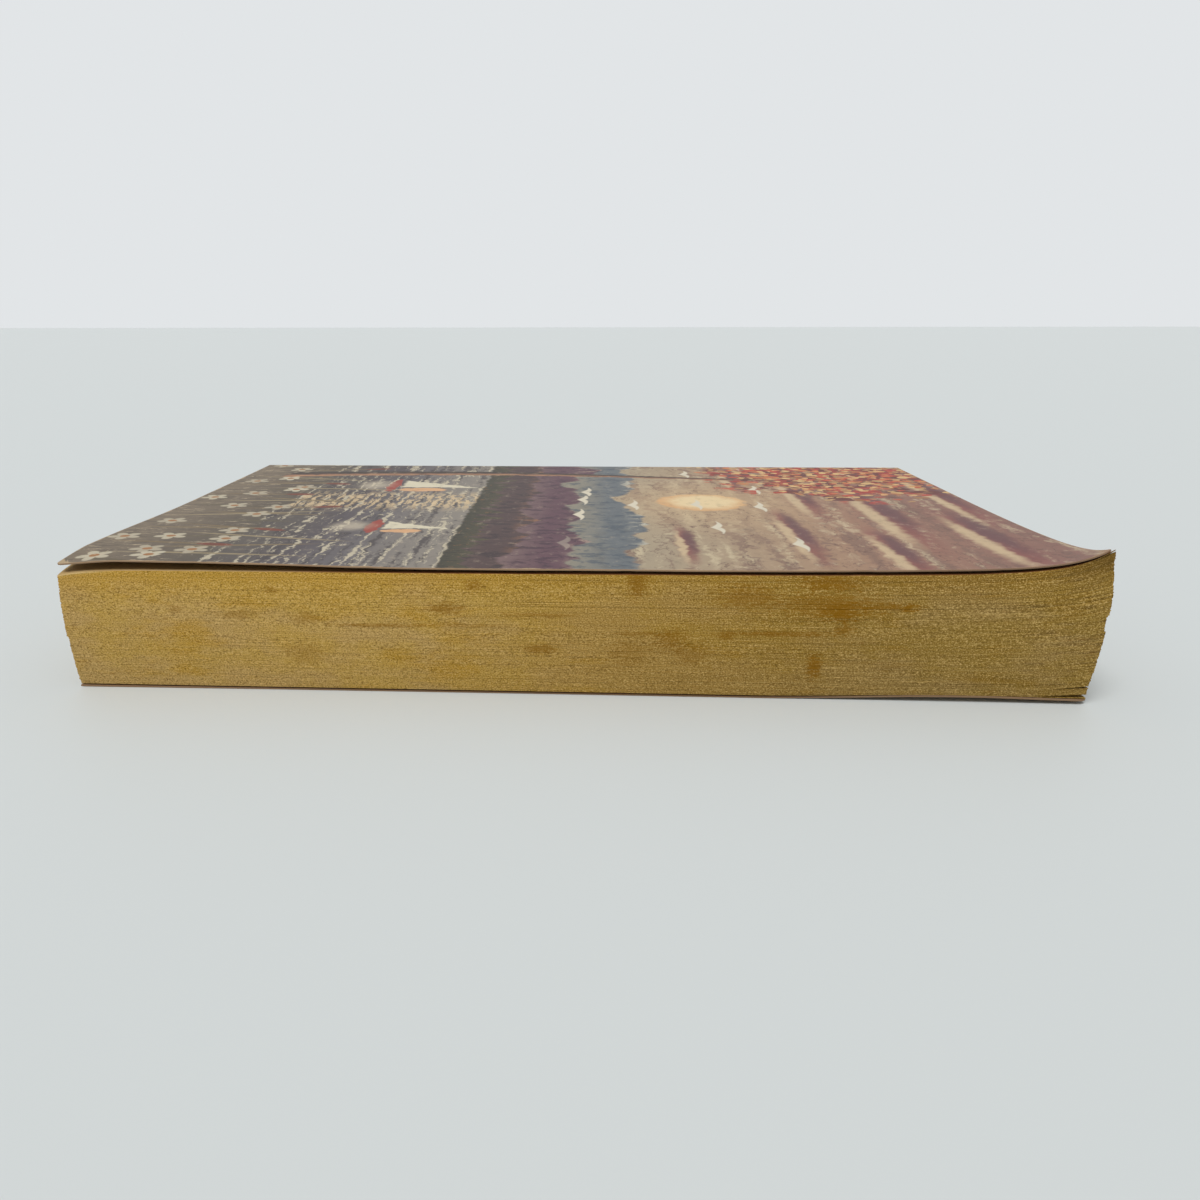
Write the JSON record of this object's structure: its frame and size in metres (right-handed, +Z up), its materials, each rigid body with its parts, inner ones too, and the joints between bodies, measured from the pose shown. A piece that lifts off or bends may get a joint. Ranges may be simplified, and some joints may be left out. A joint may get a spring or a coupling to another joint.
{
  "type": "paperback book",
  "caption": "Used small-format paperback lying on its back, with a bowed, browned page block, a thumbed corner, a glued spine and a printed card cover that opens on its creases.",
  "frame": {"origin": "centre of the book's plan, on the surface that the back cover lies on", "axes": "+X from tail to head, +Y from fore edge to spine, +Z up through the front cover"},
  "size_m": [0.1684, 0.1088, 0.0254],
  "materials": {
    "pages": "browned pulp paper, rough trimmed edges",
    "spine_glue": "yellowed hot glue",
    "cover_card": "printed and varnished card, worn at the edges"
  },
  "bodies": {
    "bound_block": {"page_block": "pages", "spine_glue": "spine_glue", "cover_spine": "cover_card"},
    "front_cover": {"front_cover": "cover_card"},
    "back_cover": {"back_cover": "cover_card"}
  },
  "joints": [
    {"name": "front_cover_hinge", "type": "hinge", "parent": "bound_block", "child": "front_cover", "pos_m": [0, 0.05272, 0.02143], "axis": [-1, 0, 0], "range_deg": [0, 180]},
    {"name": "back_cover_hinge", "type": "hinge", "parent": "bound_block", "child": "back_cover", "pos_m": [0, 0.05442, 0.0005], "axis": [1, 0, 0], "range_deg": [0, 180]}
  ]
}
